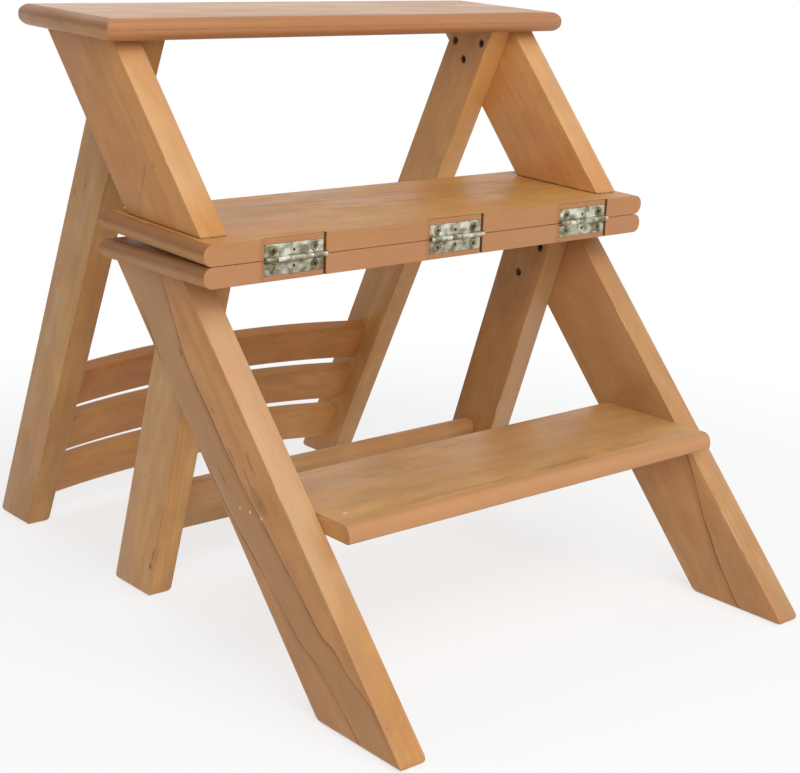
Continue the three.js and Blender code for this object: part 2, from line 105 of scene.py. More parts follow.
def addNode(tree, kind, values=(), **settings):
    node = tree.nodes.new(kind)
    for key, value in settings.items():
        setattr(node, key, value)
    for key, value in dict(values).items():
        if isinstance(value, bpy.types.NodeSocket):
            tree.links.new(value, node.inputs[key])
        else:
            node.inputs[key].default_value = value
    return node


# small node helpers; each finds its node tree from the sockets it is given

def treeOf(*values):
    return next(value.id_data for value in values if isinstance(value, bpy.types.NodeSocket))


def mathOf(operation, first, second=0.0):
    values = {0: first, 1: second}
    return addNode(treeOf(first, second), "ShaderNodeMath", values, operation=operation).outputs[0]


def plus(first, second):
    return mathOf("ADD", first, second)


def minus(first, second):
    return mathOf("SUBTRACT", first, second)


def times(first, second):
    return mathOf("MULTIPLY", first, second)


def sizeOf(value):
    return mathOf("ABSOLUTE", value)


def ramp(value, low, high, start=0.0, end=1.0):
    values = {0: value, 1: low, 2: high, 3: start, 4: end}
    return addNode(treeOf(value), "ShaderNodeMapRange", values, interpolation_type="SMOOTHSTEP").outputs[0]


def partsOf(vector):
    return addNode(treeOf(vector), "ShaderNodeSeparateXYZ", {0: vector}).outputs


def noiseAt(vector, stretch, seed, detail=2.0, roughness=0.5):
    tree = treeOf(vector)
    shift = (seed, seed * 1.7, seed * 0.6)
    spread = addNode(tree, "ShaderNodeMapping", {"Vector": vector, "Location": shift, "Scale": stretch})
    values = {"Vector": spread.outputs[0], "Scale": 1.0, "Detail": detail, "Roughness": roughness}
    return addNode(tree, "ShaderNodeTexNoise", values).outputs["Fac"]


def mixColors(share, first, second):
    values = {0: share, 6: first, 7: second}
    return addNode(treeOf(share), "ShaderNodeMix", values, data_type="RGBA").outputs[2]


def newMaterial(name):
    material = bpy.data.materials.new(name)
    material.use_nodes = True
    material.node_tree.nodes.clear()
    return material, material.node_tree


# lamps, sky and floor

studioLook = {
    "lamps": [  # place, aim, size in metres, watts
        ((-1.3, -2.6, 1.9), (0, 0, 0.35), 1.8, 53),
        ((0.3, -2.2, 3.1), (0, 0, 0.3), 2.4, 48),
        ((2.6, -1.4, 1.0), (0, 0, 0.3), 1.6, 7),
        ((0.0, 1.9, 3.1), (0, 0, 0.4), 2.6, 30),
    ],
    "lampColor": (0.97, 1.0, 1.04),
    "sky": (1, 0.945, 0.86, 1),
    "horizonStrength": 0.45,  # a white sweep lights the stool more than the ceiling does
    "zenithStrength": 0.20,
    "floor": (0.94, 0.935, 0.925, 1),
    "floorSize": 40,
    "floorHeight": -0.0004,  # just under the feet
    "shadowNear": 0.72,  # how white the floor looks under the stool, and where it turns fully white
    "whiteFrom": 0.55,
    "whiteAt": 1.15,
}


def seenRay(tree):
    path = addNode(tree, "ShaderNodeLightPath").outputs
    mirror = mathOf("MAXIMUM", path["Is Camera Ray"], path["Is Glossy Ray"])
    return mathOf("MAXIMUM", mirror, path["Is Transmission Ray"])


def addStudio(look):
    world = bpy.data.worlds.new("studioWorld")
    world.use_nodes = True
    bpy.context.scene.world = world
    tree = world.node_tree
    tree.nodes.clear()
    upward = partsOf(addNode(tree, "ShaderNodeTexCoord").outputs["Generated"])[2]
    strength = ramp(upward, 0.05, 0.75, look["horizonStrength"], look["zenithStrength"])
    room = addNode(tree, "ShaderNodeBackground", {"Color": look["sky"], "Strength": strength})
    white = addNode(tree, "ShaderNodeBackground", {"Color": (1, 1, 1, 1), "Strength": 1.0})
    mix = addNode(tree, "ShaderNodeMixShader", {0: seenRay(tree), 1: room.outputs[0], 2: white.outputs[0]})
    addNode(tree, "ShaderNodeOutputWorld", {"Surface": mix.outputs[0]})
    for place, aim, size, watts in look["lamps"]:
        bpy.ops.object.light_add(type="AREA", location=place)
        lamp = bpy.context.object
        lamp.rotation_euler = (Vector(aim) - Vector(place)).to_track_quat("-Z", "Y").to_euler()
        lamp.data.size = size
        lamp.data.energy = watts
        lamp.data.color = look["lampColor"]

    deselectAll()
    bpy.ops.mesh.primitive_plane_add(size=look["floorSize"], location=(0, 0, look["floorHeight"]))
    floor = bpy.context.object
    floor.name = "studioFloor"
    material, tree = newMaterial("studioFloor")
    paint = addNode(tree, "ShaderNodeBsdfDiffuse", {"Color": look["floor"]})
    glow = addNode(tree, "ShaderNodeEmission", {"Color": (1, 1, 1, 1), "Strength": 1.0})
    spot = addNode(tree, "ShaderNodeTexCoord").outputs["Object"]
    away = addNode(tree, "ShaderNodeVectorMath", {0: spot}, operation="LENGTH").outputs["Value"]
    share = times(seenRay(tree), ramp(away, look["whiteFrom"], look["whiteAt"], look["shadowNear"], 1.0))
    mix = addNode(tree, "ShaderNodeMixShader", {0: share, 1: paint.outputs[0], 2: glow.outputs[0]})
    addNode(tree, "ShaderNodeOutputMaterial", {"Surface": mix.outputs[0]})
    floor.data.materials.append(material)
    floor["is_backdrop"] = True


# modelling helpers

def deselectAll():
    if bpy.context.object and bpy.context.object.mode != "OBJECT":
        bpy.ops.object.mode_set(mode="OBJECT")
    bpy.ops.object.select_all(action="DESELECT")


def choose(piece):
    deselectAll()
    piece.select_set(True)
    bpy.context.view_layer.objects.active = piece


def pick(piece, kind, test):
    choose(piece)
    bpy.ops.object.mode_set(mode="EDIT")
    bpy.ops.mesh.select_mode(type=kind)
    bpy.ops.mesh.select_all(action="DESELECT")
    mesh = bmesh.from_edit_mesh(piece.data)
    for item in {"VERT": mesh.verts, "EDGE": mesh.edges, "FACE": mesh.faces}[kind]:
        if test(item):
            item.select_set(True)
    mesh.select_flush_mode()
    bmesh.update_edit_mesh(piece.data)


def leave():
    bpy.ops.object.mode_set(mode="OBJECT")


def addBlock(name, low, high):
    deselectAll()
    low, high = Vector(low) * mm, Vector(high) * mm
    bpy.ops.mesh.primitive_cube_add(size=1, location=(low + high) / 2)
    piece = bpy.context.object
    piece.name = piece.data.name = name
    piece.scale = high - low
    bpy.ops.object.transform_apply(location=True, rotation=True, scale=True)
    return piece


def moveVerts(piece, test, shift):
    pick(piece, "VERT", test)
    bpy.ops.transform.translate(value=Vector(shift) * mm)
    leave()


def bevelEdges(piece, test, offset, segments, profile=0.5):
    pick(piece, "EDGE", test)
    bpy.ops.mesh.bevel(offset=offset * mm, segments=segments, affect="EDGES", profile=profile)
    leave()


def runsAlong(edge, axis):
    return abs((edge.verts[1].co - edge.verts[0].co).normalized().dot(axis)) > 0.999


def edgeAt(edge, index, value, slack=0.01):
    return all(abs(vert.co[index] - value * mm) < slack * mm for vert in edge.verts)


def settle(piece, place):
    piece.matrix_world = place
    choose(piece)
    bpy.ops.object.transform_apply(location=True, rotation=True, scale=True)


def moved(x, y, z):
    return Matrix.Translation(Vector((x, y, z)) * mm)


def quarterTurn(axis, way=1):
    return Matrix.Rotation(way * math.pi / 2, 4, axis)


def carve(piece, cutters, operation="DIFFERENCE"):
    for cutter in cutters:
        choose(piece)
        cut = piece.modifiers.new("carve", "BOOLEAN")
        cut.operation = operation
        cut.solver = "EXACT"
        cut.object = cutter
        bpy.ops.object.modifier_apply(modifier=cut.name)
    for cutter in cutters:
        bpy.data.objects.remove(cutter, do_unlink=True)


def smooth(piece, degrees=32):
    choose(piece)
    bpy.ops.object.shade_smooth_by_angle(angle=math.radians(degrees))


def turnedPiece(name, profile, segments=32):
    # profile holds (radius, height) pairs from the back end to the front end, about the Z axis
    deselectAll()
    radius, height = profile[0]
    foot = (0, 0, height * mm)
    bpy.ops.mesh.primitive_circle_add(vertices=segments, radius=radius * mm, fill_type="NGON", location=foot)
    piece = bpy.context.object
    piece.name = piece.data.name = name
    bpy.ops.object.transform_apply(location=True, rotation=True, scale=True)
    choose(piece)
    bpy.ops.object.mode_set(mode="EDIT")
    bpy.ops.mesh.select_mode(type="FACE")
    bpy.ops.mesh.select_all(action="SELECT")
    for nextRadius, nextHeight in profile[1:]:
        rise = Vector((0, 0, nextHeight - height)) * mm
        bpy.ops.mesh.extrude_region_move(TRANSFORM_OT_translate={"value": rise})
        scale = nextRadius / radius
        middle = (0, 0, nextHeight * mm)
        bpy.ops.transform.resize(value=(scale, scale, 1), center_override=middle)
        radius, height = nextRadius, nextHeight
    bpy.ops.mesh.select_all(action="SELECT")
    bpy.ops.mesh.normals_make_consistent(inside=False)
    leave()
    return piece


def copyOf(piece, name):
    twin = piece.copy()
    twin.data = piece.data.copy()
    twin.name = twin.data.name = name
    bpy.context.collection.objects.link(twin)
    return twin


def finish(piece, material, body, slot, *nodes):
    piece.data.materials.clear()
    piece.data.materials.append(material)
    for face in piece.data.polygons:
        face.material_index = 0
    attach(piece, body)
    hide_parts(*nodes)


# varnished wood, with its grain along the local X axis of each piece

woodLook = {
    "layers": (  # stretch, seed shift, low, high, detail, roughness, strength, tone
        ((3, 26, 40), 13, 0.34, 0.66, 3.0, 0.6, 0.42, "middle"),  # broad bands along the grain
        ((17, 30, 34), 7, 0.38, 0.64, 4.0, 0.5, 0.62, "middle"),  # blotches
        ((7, 16, 22), 11, 0.46, 0.68, 2.0, 0.5, 0.60, "rosy"),
        ((8, 18, 22), 19, 0.48, 0.70, 2.0, 0.5, 0.55, "olive"),
        ((8, 130, 200), 15, 0.42, 0.70, 3.0, 0.5, 0.13, "dark"),  # streaks
        ((30, 70, 80), 63, 0.42, 0.72, 4.0, 0.6, 0.17, "dark"),  # mottle
        ((3, 6, 6), 65, 0.40, 0.66, 2.0, 0.5, 0.10, "dark"),  # soft shade
    ),
    "rings": 0.16,  # strength of the growth lines
    "ringWidth": 0.0062,
    "heartSway": 0.03,  # the heart of the tree, in metres from the middle of the piece
    "heartDepth": 0.13,
    "warp": 0.040,  # how far the growth lines wander
    "fineWarp": 0.0035,
    "taper": 0.010,
    "fibres": 0.11,  # strength of the fine lines
    "flecks": 0.30,
    "heartwood": 0.50,
    "sharpLine": 0.66,  # strength of a drawn grain line, and of the shade beside it
    "softLine": 0.38,
    "pinHoles": 0.70,
    "scuffs": 0.35,
    "nicks": 0.35,
    "wornEdge": 0.30,
    "endShadeShare": 0.85,  # how far the board ends take the colour of end grain, with painted shade above the ridge and painted light from the floor below it
    "endFloorLitShare": 0.60,
    "frontShare": 0.80,
    "rimDull": 0.24,  # added roughness of the rounded rims
    "varnish": 0.05,
    "roughness": 0.42,
    "gloss": 0.34,
}
woodColors = {
    # end grain with painted shade, for the upper half of the board ends, and paler end grain with painted light from
    # the floor, for the lower half
    "endGrainShaded": (0.270, 0.112, 0.040, 1),
    "endGrainFloorLit": (0.430, 0.222, 0.098, 1),
    # painted sheen, with some wear, on the narrow front faces of the legs and sides
    "paleSheenAndWear": (0.68, 0.50, 0.31, 1),
    "line": (0.215, 0.078, 0.020, 1),
    # dirt in the seams, also used as painted shade in the hinge recesses; the next colour is painted shade inside the
    # saw cuts
    "dirtAndShade": (0.070, 0.032, 0.015, 1),
    "sawCutShade": (0.120, 0.052, 0.022, 1),
    "nick": (0.78, 0.60, 0.40, 1),
    "greyHeart": (0.375, 0.202, 0.078, 1),
}
woodTones = {
    "honey": {"light": (0.580, 0.310, 0.122), "middle": (0.475, 0.232, 0.084), "dark": (0.285, 0.118, 0.036),
              "rosy": (0.515, 0.226, 0.090), "olive": (0.420, 0.242, 0.100)},
    "tan": {"light": (0.530, 0.300, 0.120), "middle": (0.420, 0.216, 0.080), "dark": (0.255, 0.112, 0.037),
            "rosy": (0.450, 0.205, 0.080), "olive": (0.385, 0.222, 0.090)},
    "amber": {"light": (0.500, 0.240, 0.080), "middle": (0.405, 0.176, 0.056), "dark": (0.245, 0.092, 0.028),
              "rosy": (0.440, 0.172, 0.060), "olive": (0.370, 0.188, 0.066)},
}


def dyed(color, dye):
    return tuple(part * share for part, share in zip(color, dye)) + (1,)


class Wood:
    # one piece's own directions and tones, and the colour laid on so far

    def __init__(self, tree, centre, turn, tone, seed, extra):
        self.tone, self.seed, self.extra = tone, seed, extra
        self.room = addNode(tree, "ShaderNodeTexCoord").outputs["Object"]
        self.local = self.turned(centre, turn)
        self.along, self.across, self.deep = partsOf(self.local)
        # the dye multiplies all of a piece's tones; on some pieces it also holds painted light and shade, as on the
        # back slats and the right upper side
        self.tones = {key: dyed(color, extra.get("dye", (1, 1, 1))) for key, color in woodTones[tone].items()}
        self.color = self.tones["light"]

    def turned(self, place, turn):
        values = {"Vector": self.room, "Location": place, "Rotation": turn}
        return addNode(treeOf(self.room), "ShaderNodeMapping", values, vector_type="TEXTURE").outputs[0]

    def noise(self, stretch, shift, detail=2.0, roughness=0.5):
        return noiseAt(self.local, stretch, self.seed + shift, detail, roughness)

    def patches(self, stretch, shift, low, high, detail=2.0, roughness=0.5, start=0.0, end=1.0):
        return ramp(self.noise(stretch, shift, detail, roughness), low, high, start, end)

    def lay(self, share, color):
        named = {**woodColors, **self.tones}
        self.color = mixColors(share, self.color, named[color] if isinstance(color, str) else color)


def layGrain(wood):
    # growth rings about a heart that lies outside the board, patches of several tones, and fibres
    look = woodLook
    heart = plus(wood.across, look["heartSway"] * math.sin(wood.seed * 3))
    tall = plus(wood.deep, -look["heartDepth"])
    radius = mathOf("SQRT", plus(times(heart, heart), times(tall, tall)))
    warp, fineWarp = wood.noise((2.2, 9, 9), 0), wood.noise((8, 45, 45), 3, 1.0)
    for part, share in ((warp, "warp"), (fineWarp, "fineWarp"), (wood.along, "taper")):
        radius = plus(radius, times(part, look[share]))
    turnShare = mathOf("FRACT", mathOf("DIVIDE", radius, look["ringWidth"]))
    rings = times(ramp(turnShare, 0.25, 0.92), ramp(turnShare, 0.93, 1.0, 1.0, 0.0))
    rings = times(rings, wood.patches((3, 16, 16), 5, 0.3, 0.7))
    fibres = wood.patches((11, 700, 700), 17, 0.30, 0.72, 3.0, 0.6)
    flecks = wood.patches((85, 1100, 1100), 23, 0.68, 0.76, 1.0)
    for stretch, shift, low, high, detail, roughness, strength, tone in look["layers"]:
        wood.lay(times(wood.patches(stretch, shift, low, high, detail, roughness), strength), tone)
    for mask, strength in ((rings, "rings"), (fibres, "fibres"), (flecks, "flecks")):
        wood.lay(times(mask, look[strength]), "dark")
    return fibres, flecks


def broadFace(wood):
    # 1 on the face with deep above zero; the narrow faces of a leg are left out
    half = wood.extra.get("halfDeep", 15)
    onFace = ramp(wood.deep, (half - 4) * mm, (half - 1) * mm)
    if "halfAcross" in wood.extra:
        half = wood.extra["halfAcross"]
        onFace = times(onFace, ramp(sizeOf(wood.across), (half - 2) * mm, (half - 0.6) * mm, 1.0, 0.0))
    return onFace


def drawnLine(wood, wobble, points):
    # how far a point lies across the grain from a line through (along, across) points in millimetres,
    # and whether it lies between the line's ends
    points = sorted(points)
    first, last = points[0][0], points[-1][0]
    reach = 60  # the line stays within 60 mm of the middle of the face
    tree = treeOf(wood.along)
    values = {0: wood.along, 1: first * mm, 2: last * mm, 3: 0.0, 4: 1.0}
    share = addNode(tree, "ShaderNodeMapRange", values).outputs[0]
    curve = addNode(tree, "ShaderNodeFloatCurve", {"Value": share})
    knots = curve.mapping.curves[0].points
    for index, (x, y) in enumerate(points):
        spot = ((x - first) / (last - first), 0.5 + y / (2 * reach))
        if index in (0, len(points) - 1):
            knots[0 if index == 0 else len(knots) - 1].location = spot
        else:
            knots.new(*spot)
    curve.mapping.update()
    middle = times(minus(curve.outputs[0], 0.5), 2 * reach * mm)
    past = mathOf("MAXIMUM", minus(first * mm, wood.along), minus(wood.along, last * mm))
    return plus(minus(wood.across, middle), wobble), ramp(past, -0.004, 0.0, 1.0, 0.0)


def layDrawnLines(wood, wobble, onFace):
    # grain lines as on the real stool, with greyer heartwood where there are two of them
    lines = [drawnLine(wood, wobble, points) for points in wood.extra.get("lines", ())]
    if len(lines) == 2:
        inside = times(ramp(lines[0][0], 0.0, 0.004), ramp(lines[1][0], -0.004, 0.0, 1.0, 0.0))
        wood.lay(times(times(inside, onFace), woodLook["heartwood"]), "greyHeart")
    for line, within in lines:
        fade = times(wood.patches((16, 8, 8), 41, 0.25, 0.62, 2.0, 0.5, 0.35, 1.0), within)
        sharp = times(ramp(line, -0.0013, 0.0001), ramp(line, 0.0006, 0.0024, 1.0, 0.0))
        soft = times(ramp(line, -0.0010, 0.0), ramp(line, 0.0, 0.011, 1.0, 0.0))
        shade = plus(times(sharp, woodLook["sharpLine"]), times(soft, woodLook["softLine"]))
        shade = times(shade, wood.extra.get("lineStrength", 1.0))
        wood.lay(times(times(shade, fade), onFace), "line")


def layMarks(wood, wobble, onFace):
    # knots and stains in millimetres, on the broad face or on a board's front edge; light chips below zero
    extra = wood.extra
    marks = [(mark, wood.across, onFace) for mark in extra.get("marks", ())]
    if "frontMarks" in extra:
        onFront = ramp(wood.across, (extra["frontAt"] + 3) * mm, (extra["frontAt"] + 1) * mm)
        marks += [(mark, wood.deep, onFront) for mark in extra["frontMarks"]]
    for (alongAt, acrossAt, length, width, strength), height, where in marks:
        farAlong = mathOf("DIVIDE", minus(wood.along, alongAt * mm), length * mm)
        farAcross = mathOf("DIVIDE", plus(minus(height, acrossAt * mm), wobble), width * mm)
        far = plus(times(farAlong, farAlong), times(farAcross, farAcross))
        grime = plus(far, times(minus(wood.noise((90, 160, 160), alongAt), 0.5), 1.6))
        wood.lay(times(ramp(grime, 0.15, 1.0, abs(strength), 0.0), where), "line" if strength > 0 else "nick")


def layScuffs(wood):
    # pin holes, dents and light scuffs
    cells = addNode(treeOf(wood.local), "ShaderNodeTexVoronoi", {"Vector": wood.local, "Scale": 17.0}).outputs
    some = ramp(partsOf(cells["Color"])[0], 0.62, 0.66)
    dots = times(ramp(cells["Distance"], 0.009, 0.020, 1.0, 0.0), some)
    wood.lay(times(dots, woodLook["pinHoles"]), "line")
    wood.lay(wood.patches((55, 210, 210), 37, 0.735, 0.80, 2.0, 0.7, 0.0, woodLook["scuffs"]), "nick")
    return dots


def layRims(wood):
    # rounded rims of a board: end grain with painted shade above the ridge and painted floor light below it, with
    # fine lines
    extra = wood.extra
    halfAlong, halfAcross, nose, roundedFront = extra["rim"]
    endSide = minus(sizeOf(wood.along), (halfAlong - nose) * mm)
    longSide = minus(sizeOf(wood.across) if roundedFront else wood.across, (halfAcross - nose) * mm)
    ragged = times(minus(wood.noise((150, 150, 60), 43, 3.0, 0.6), 0.5), 0.0016)
    rim = plus(mathOf("MAXIMUM", endSide, longSide), ragged)
    behind = 1.0
    if "frontAt" in extra:
        behind = ramp(wood.across, (extra["frontAt"] + 0.1) * mm, (extra["frontAt"] + 0.5) * mm)
    onRim = times(ramp(rim, -0.0004, 0.0012), behind)
    tall = plus(wood.deep, ragged)
    upper = ramp(tall, 0.0004, 0.0016)
    onEnd = times(onRim, ramp(minus(endSide, longSide), -0.0003, 0.0003))
    # painted shade on the upper half of each end, painted floor light on the lower half
    wood.lay(times(times(onEnd, upper), woodLook["endShadeShare"]), "endGrainShaded")
    wood.lay(times(times(onEnd, minus(1.0, upper)), woodLook["endFloorLitShare"]), "endGrainFloorLit")
    onLong = times(minus(onRim, onEnd), extra.get("longTint", 0.6))
    wood.lay(onLong, dyed(wood.tones["rosy"], (0.82, 0.82, 0.82)))
    ridge = ramp(sizeOf(tall), 0.0002, 0.0010, 0.72, 0.0)
    edgeLine = times(times(ramp(rim, -0.0010, -0.0001), ramp(rim, 0.0001, 0.0012, 1.0, 0.0)), behind)
    fineLine = mathOf("MAXIMUM", times(ridge, onRim), times(edgeLine, 0.60))
    wood.lay(times(fineLine, wood.patches((60, 60, 60), 59, 0.30, 0.60, 2.0, 0.5, 0.3, 1.0)), "dark")
    wood.lay(times(times(edgeLine, wood.patches((60, 60, 60), 61, 0.62, 0.70)), 0.6), "nick")
    return onRim


def layFrontEdge(wood):
    # a rosier front edge
    start, width = wood.extra["noseFrom"]
    front = ramp(wood.across, start * mm, (start - width) * mm)
    wood.lay(times(front, woodLook["frontShare"]), dyed(woodTones[wood.tone]["rosy"], wood.extra["noseDye"]))


def layHingeWear(wood):
    # handled wood about the hinges, painted shade in the recesses behind the leaves, and painted shade in the saw
    # cuts
    half, cut = wood.extra["hinges"]
    frontAt = wood.extra["frontAt"]
    nearFront = ramp(wood.across, (frontAt + 4) * mm, (frontAt + 2) * mm)
    inNotch = ramp(wood.across, (frontAt + 5) * mm, (frontAt + 3.5) * mm)
    sunk = times(nearFront, ramp(wood.across, (frontAt + 0.7) * mm, (frontAt + 1.4) * mm))
    uneven = times(wood.noise((160, 60, 160), 67, 3.0, 0.6), 0.004)
    for centre in hingeCentres.values():
        off = minus(sizeOf(minus(wood.along, centre * mm)), half * mm)
        about = times(ramp(minus(off, uneven), 0.0, 0.0045, 0.42, 0.0), ramp(off, -0.0006, 0.0, 0.5, 1.0))
        wood.lay(times(about, nearFront), "dark")
        # painted shade in the recess behind the leaf, so the holes in it look dark
        wood.lay(times(ramp(off, -0.0012, -0.0004, 0.9, 0.0), sunk), "dirtAndShade")
        # painted shade inside the saw cut
        past = plus(minus(wood.along, (centre + half) * mm), times(minus(uneven, 0.002), 0.35))
        inCut = times(ramp(past, -0.0003, 0.0001), ramp(past, cut * mm, (cut + 0.5) * mm, 0.80, 0.0))
        wood.lay(times(inCut, inNotch), "sawCutShade")


def layLegWear(wood):
    # a narrow front face made paler by painted sheen and wear, while on the rear legs it takes painted shade low on
    # the left leg and painted light high on the right; and worn long edges
    extra, half = wood.extra, wood.extra["halfAcross"]
    if "frontPaintedLightAndWear" in extra:
        strength, low, high = extra["frontPaintedLightAndWear"]
        front = ramp(wood.across, (1.6 - half) * mm, (0.4 - half) * mm)
        reach = ramp(wood.along, low * mm, high * mm)
        uneven = wood.patches((7, 30, 30), 71, 0.25, 0.65, 3.0, 0.5, 0.55, 1.0)
        wood.lay(times(times(times(front, reach), uneven), strength), extra.get("frontPaintedLight", "paleSheenAndWear"))
    nearSide = minus(half * mm, sizeOf(wood.across))
    edge = mathOf("MAXIMUM", nearSide, minus(extra["halfDeep"] * mm, sizeOf(wood.deep)))
    ragged = wood.noise((45, 160, 160), 43, 3.0, 0.6)
    worn = ramp(plus(edge, times(ragged, 0.0010)), 0.0009, 0.0021, 1.0, 0.0)
    wood.lay(times(worn, woodLook["wornEdge"]), "dark")
    nick = times(worn, wood.patches((26, 60, 60), 47, 0.62, 0.70))
    wood.lay(times(nick, woodLook["nicks"]), "nick")


def laySeamDirt(wood):
    # dirt where the piece meets a board, by height in its frame
    spot = wood.turned(*wood.extra["framePlace"])
    rise = partsOf(spot)[2]
    ragged = noiseAt(spot, (160, 160, 60), wood.seed + 53, 3.0, 0.65)
    broken = ramp(noiseAt(spot, (130, 130, 20), wood.seed + 57, 3.0), 0.36, 0.56, 0.40, 0.85)
    for height, reach in wood.extra["seams"]:
        off = minus(sizeOf(minus(rise, height * mm)), times(ragged, reach * mm * 1.5))
        wood.lay(times(ramp(off, -0.0008 * reach, 0.0004 * reach, 1.0, 0.0), broken), "dirtAndShade")


def woodMaterial(name, centre, turn, tone, seed, extra=None):
    extra = extra or {}
    material, tree = newMaterial(name)
    wood = Wood(tree, centre, turn, tone, seed, extra)
    fibres, flecks = layGrain(wood)
    wobble = times(minus(wood.noise((30, 8, 8), 29, 3.0), 0.5), 0.004)
    onFace = broadFace(wood)
    layDrawnLines(wood, wobble, onFace)
    layMarks(wood, wobble, onFace)
    dots = layScuffs(wood)
    low, high = woodLook["roughness"] - 0.08, woodLook["roughness"] + 0.14
    values = {0: wood.noise((9, 30, 30), 31, 3.0), 1: 0.3, 2: 0.75, 3: low, 4: high}
    rough = addNode(tree, "ShaderNodeMapRange", values).outputs[0]
    if "rim" in extra:
        rough = plus(rough, times(layRims(wood), woodLook["rimDull"]))
    wear = {"noseFrom": layFrontEdge, "hinges": layHingeWear, "halfAcross": layLegWear, "seams": laySeamDirt}
    for key, layWear in wear.items():
        if key in extra:
            layWear(wood)
    relief = plus(times(fibres, 0.5), plus(flecks, times(dots, 2.0)))
    values = {"Strength": 0.14, "Distance": 0.0004, "Height": times(relief, -1.0)}
    bump = addNode(tree, "ShaderNodeBump", values)
    shader = addNode(tree, "ShaderNodeBsdfPrincipled", {
        "Base Color": wood.color, "Roughness": rough, "Normal": bump.outputs[0], "IOR": 1.47,
        "Specular IOR Level": extra.get("gloss", woodLook["gloss"]),
        "Coat Weight": extra.get("varnish", woodLook["varnish"]), "Coat Roughness": 0.20,
    })
    addNode(tree, "ShaderNodeOutputMaterial", {"Surface": shader.outputs[0]})
    return material


def finishWood(piece, place, middle, axes, tone, seed, extra, body, slot, node):
    # middle and axes, along and across the grain, are in the piece's own frame before it is put in place
    along, across = ((place.to_3x3() @ axis).normalized() for axis in axes)
    turn = Matrix((along, across, along.cross(across))).transposed().to_euler()
    material = woodMaterial(piece.name, place @ (Vector(middle) * mm), turn, tone, seed, extra)
    finish(piece, material, body, slot, node)


# seat boards and top tread, rounded all round

boardLook = {
    "overhang": 13.5,
    "depth": 189,
    "nose": 8.6,
    "noseSegments": 10,
    "noseShape": 0.46,  # a little flatter than a true round, so crisp lines show where the curves end
    "mitreWear": 0.7,
    "easedEdge": 0.7,
    "treadOverhang": 20.5,
    "treadDepth": 177,
    "treadThickness": 20.98,
    "treadFront": 153,
    "treadUnder": 182,
}
hingeLook = {
    "length": 68, "reach": 14.6, "leaf": 1.6, "barrel": 3, "pin": 1.5, "knuckles": 5, "gap": 0.3,
    "placeShares": {"left": -0.6855, "middle": 0.0473, "right": 0.7127},  # of the frame's half width
    "spread": 24, "holeHeight": 8.4, "spareRadius": 1.5, "spareHeight": 7.6,
    "pinHeadRadius": 2.6, "pinHead": 4,
    "kerfWidth": 3, "kerfDepth": 2.6, "ring": 0.75, "cornerRound": 1.6,
    "head": 4.4, "shank": 1.7, "screwLength": 15,
}
hingeCentres = {place: share * frameHalfWidth for place, share in hingeLook["placeShares"].items()}


def aboutHinges(*marks):
    # marks measured from the middle of a hinge, repeated at all three
    return tuple((centre + along, *rest) for centre in hingeCentres.values() for along, *rest in marks)


def nosedBoard(name, low, high):
    look = boardLook
    piece = addBlock(name, low, high)
    rim = lambda edge: edgeAt(edge, 2, low[2]) or edgeAt(edge, 2, high[2])
    bevelEdges(piece, rim, look["nose"], look["noseSegments"], look["noseShape"])
    choose(piece)
    wear = piece.modifiers.new("mitreWear", "BEVEL")
    wear.width = look["mitreWear"] * mm
    wear.segments = 2
    wear.limit_method = "ANGLE"
    wear.angle_limit = math.radians(38)
    bpy.ops.object.modifier_apply(modifier=wear.name)
    return piece


def addSeatBoard(name, up, body, node, seed, details):
    look, hinges, place = boardLook, hingeLook, frames[body]
    half = frameHalfWidth + look["overhang"]
    front = edgeSetback - look["nose"] - 5
    back = edgeSetback + look["depth"]
    ends = sorted((up * seam, up * (seam + boardThickness)))
    piece = nosedBoard(name, (-half, front, ends[0]), (half, back, ends[1]))
    pick(piece, "FACE", lambda face: True)
    bpy.ops.mesh.bisect(plane_co=(0, edgeSetback * mm, 0), plane_no=(0, -1, 0), use_fill=True, clear_outer=True)
    leave()
    hinged = lambda edge: edgeAt(edge, 1, edgeSetback) and runsAlong(edge, xAxis)
    bevelEdges(piece, hinged, look["easedEdge"], 3)
    clearance, grooveRadius = 0.3, hinges["barrel"] + 0.5
    recessHalf = hinges["length"] / 2 + clearance
    cutters = []
    for centre in hingeCentres.values():
        low, high = centre - recessHalf, centre + recessHalf
        under, over = sorted((-up * 5, up * (hinges["reach"] + clearance)))
        deepest = edgeSetback + hinges["leaf"] + clearance
        cutters.append(addBlock("recess", (low, -5, under), (high, deepest, over)))
        under, over = sorted((-up * 5, up * 30))
        deepest = edgeSetback + hinges["kerfDepth"]
        cutters.append(addBlock("kerf", (high - 0.2, -5, under), (high + hinges["kerfWidth"], deepest, over)))
        grooveLength = hinges["length"] + hinges["pinHead"] + 2
        groove = turnedPiece("groove", [(grooveRadius, 0), (grooveRadius, grooveLength)])
        settle(groove, moved(low, 0, 0) @ quarterTurn("Y"))
        cutters.append(groove)
    carve(piece, cutters)
    settle(piece, place)
    smooth(piece)
    halfDepth = look["depth"] / 2
    extra = {"rim": (half, halfDepth, look["nose"], False), "frontAt": -halfDepth,
             "halfDeep": boardThickness / 2, "noseFrom": (1.2 - halfDepth, 0.8), "noseDye": (0.81, 0.85, 0.97),
             "hinges": (recessHalf, hinges["kerfWidth"]), **details}
    middle = (0, edgeSetback + halfDepth, up * (seam + boardThickness / 2))
    finishWood(piece, place, middle, (xAxis, yAxis), "honey", seed, extra, body, "board_wood", node)


